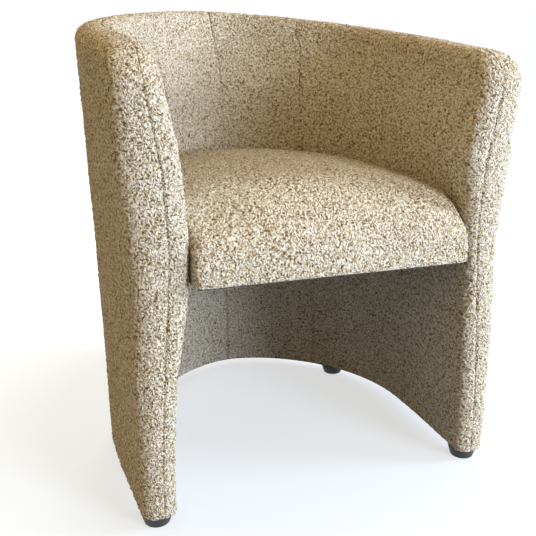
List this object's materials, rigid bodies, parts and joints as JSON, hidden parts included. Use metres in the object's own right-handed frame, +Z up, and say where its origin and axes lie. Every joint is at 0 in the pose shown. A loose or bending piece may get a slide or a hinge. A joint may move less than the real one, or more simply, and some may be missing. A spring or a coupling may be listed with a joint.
{
  "type": "tub chair",
  "caption": "Tub chair with a curved padded wall that forms arms, back and base, a fixed crowned seat and low glides.",
  "frame": {"origin": "centre of the bounding box on the floor, under the middle of the seat", "axes": "+Z up, +Y from the open front to the back, +X to the right of someone facing the chair's front"},
  "size_m": [0.6094, 0.6496, 0.75],
  "materials": {
    "boucle": "looped boucle wool blend, warm beige",
    "foam": "polyurethane foam",
    "lining_cloth": "black non-woven lining",
    "felt": "needled felt",
    "plywood": "birch plywood, sawn",
    "beech": "planed beech",
    "hardboard": "bent hardboard",
    "spring_steel": "drawn spring wire",
    "zinc_steel": "zinc-plated",
    "insert_brass": "plain",
    "glide_plastic": "moulded, fine texture"
  },
  "bodies": {
    "root": {"base_rib": "plywood", "seat_rib": "plywood", "rim_rib": "plywood", "front_post_left": "beech", "front_post_right": "beech", "lower_studs": "beech", "upper_studs": "beech", "inner_board": "hardboard", "outer_board": "hardboard", "arm_pad_left": "foam", "back_pad": "foam", "arm_pad_right": "foam", "outer_pad": "foam", "arm_cover_left": "boucle", "back_cover_left": "boucle", "back_cover_right": "boucle", "arm_cover_right": "boucle", "outer_cover": "boucle", "base_cloth": "lining_cloth", "seat_ring_lower": "plywood", "seat_ring_upper": "plywood", "seat_front_rail": "beech", "seat_blocks": "beech", "seat_spring_1": "spring_steel", "seat_spring_2": "spring_steel", "seat_spring_3": "spring_steel", "seat_spring_4": "spring_steel", "spring_clips": "spring_steel", "spring_felt": "felt", "seat_foam": "foam", "seat_cover": "boucle", "dust_cover": "lining_cloth", "seat_bolts": "zinc_steel", "bolt_washers": "zinc_steel", "threaded_inserts": "insert_brass", "glide_front_left": "glide_plastic", "glide_front_right": "glide_plastic", "glide_back_left": "glide_plastic", "glide_back_right": "glide_plastic", "glide_screws": "zinc_steel"}
  },
  "joints": []
}
